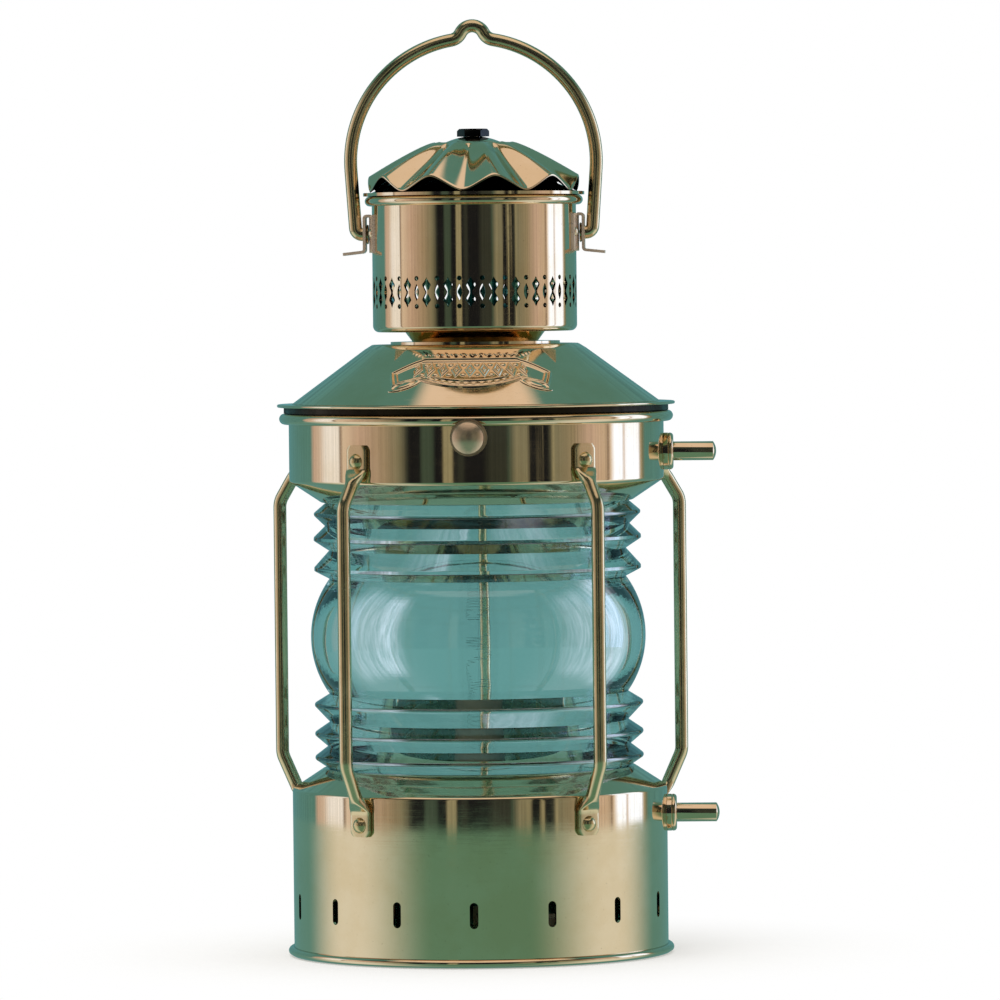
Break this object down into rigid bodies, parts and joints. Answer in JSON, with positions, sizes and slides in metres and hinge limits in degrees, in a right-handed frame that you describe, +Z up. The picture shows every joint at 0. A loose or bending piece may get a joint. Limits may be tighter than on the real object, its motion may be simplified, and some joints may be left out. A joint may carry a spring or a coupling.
{
  "type": "ship lantern",
  "caption": "Brass anchor lantern with a ribbed clear barrel lens, rod guards, hinged vented roof, spring latch and swinging bail.",
  "frame": {"origin": "centre of the base's bottom edge, on the plane the lantern stands on", "axes": "+Z up along the lantern's axis, -Y the front with the latch knob, +X the side with the two studs"},
  "size_m": [0.1747, 0.1738, 0.3639],
  "materials": {
    "polished_brass": "mirror-polished and lacquered, pinkish gold",
    "satin_brass": "fine satin, lightly lacquered",
    "rod_brass": "drawn rod, polished, slightly olive",
    "black_nut": "black oxide, half gloss",
    "lens_glass": "clear pressed glass with a faint green-blue tint",
    "bulb_glass": "thin clear blown glass",
    "gasket_rubber": "matt black rubber",
    "wire_sleeve": "dark heat-proof sleeve",
    "steel": "plain bright steel",
    "filament_wire": "drawn tungsten wire",
    "ceramic": "glazed cream steatite"
  },
  "bodies": {
    "lantern": {"base_shell": "polished_brass", "base_plate": "satin_brass", "plate_lugs": "satin_brass", "base_screws": "steel", "lens": "lens_glass", "lens_gasket_lower": "gasket_rubber", "lens_gasket_upper": "gasket_rubber", "upper_ring": "polished_brass", "guard_front_left": "rod_brass", "guard_front_right": "rod_brass", "guard_side_left": "rod_brass", "guard_side_right": "rod_brass", "guard_rear": "rod_brass", "guard_rivets_upper": "satin_brass", "guard_rivets_lower": "satin_brass", "stud_upper": "polished_brass", "stud_lower": "polished_brass", "stud_nuts": "satin_brass", "latch_body": "satin_brass", "latch_spring": "steel", "hinge_base": "satin_brass", "hinge_base_rivets": "satin_brass", "hinge_pin": "steel", "lamp_strap": "satin_brass", "strap_screws": "steel", "lamp_holder": "ceramic", "holder_ring": "satin_brass", "terminal_block": "ceramic", "cable_gland": "satin_brass", "gland_nut": "satin_brass", "lamp_flex": "wire_sleeve"},
    "roof": {"hinge_leaf": "satin_brass", "hinge_leaf_rivets": "satin_brass", "roof_cone": "polished_brass", "roof_skirt": "polished_brass", "scroll_plate": "polished_brass", "chimney_neck": "polished_brass", "chimney_drum": "polished_brass", "drum_lid": "polished_brass", "cap_bridge": "satin_brass", "cap_rod": "steel", "cap_spacer": "satin_brass", "cap_lower_nut": "steel", "fluted_cap": "polished_brass", "cap_washer": "polished_brass", "cap_nut": "black_nut", "ear_left": "satin_brass", "ear_right": "satin_brass", "ear_rivets": "satin_brass"},
    "bail": {"bail": "rod_brass"},
    "latch": {"latch_bolt": "steel", "latch_knob": "satin_brass"},
    "bulb": {"bulb_cap": "satin_brass", "bulb_glass": "bulb_glass", "bulb_stem": "bulb_glass", "bulb_filament": "filament_wire"}
  },
  "joints": [
    {"name": "roof_hinge", "type": "hinge", "parent": "lantern", "child": "roof", "pos_m": [0, 0.081, 0.2123], "axis": [-1, 0, 0], "range_deg": [0, 100]},
    {"name": "bail_pivot", "type": "hinge", "parent": "roof", "child": "bail", "pos_m": [0, 0, 0.2806], "axis": [1, 0, 0], "range_deg": [-115, 115]},
    {"name": "latch_pull", "type": "slide", "parent": "lantern", "child": "latch", "axis": [0, -1, 0], "range_m": [0, 0.004], "stiffness_N_per_m": 400, "deforming": ["latch_spring"]},
    {"name": "bulb_turn", "type": "hinge", "parent": "lantern", "child": "bulb", "pos_m": [0, 0, 0.06], "axis": [0, 0, 1], "continuous": true}
  ]
}
